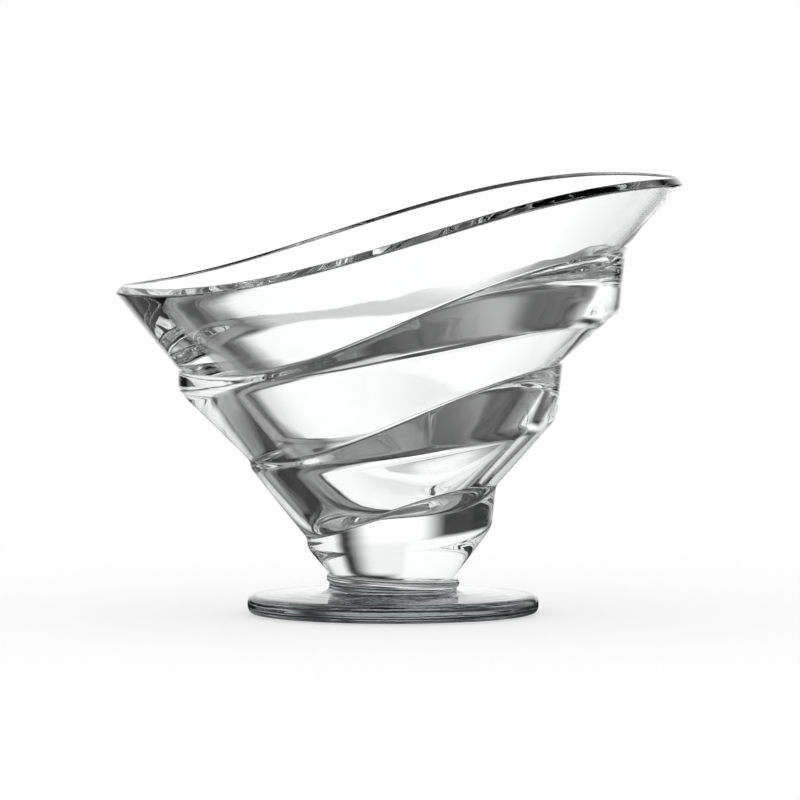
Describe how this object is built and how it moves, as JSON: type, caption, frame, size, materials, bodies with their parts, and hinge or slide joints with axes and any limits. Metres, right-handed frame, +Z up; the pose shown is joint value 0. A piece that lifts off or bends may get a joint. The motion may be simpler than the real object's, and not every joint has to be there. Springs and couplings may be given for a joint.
{
  "type": "parfait glass",
  "caption": "Clear pressed-glass dessert glass: a bowl flaring in leaning steps to a sweeping, slanted rim, on a low round foot; holds ice cream or parfait.",
  "frame": {"origin": "middle of the foot's flat underside, the face the glass stands on", "axes": "+Z up along the axis of the foot; +X towards the high side of the rim, -X towards its low side"},
  "size_m": [0.135, 0.135, 0.1047],
  "materials": {
    "bowl_glass": "clear, fire-polished",
    "ring_glass": "clear, fire-polished",
    "foot_glass": "clear, with fine pressing ripples"
  },
  "bodies": {
    "root": {"bowl": "bowl_glass", "joining_ring": "ring_glass", "foot": "foot_glass"}
  },
  "joints": []
}
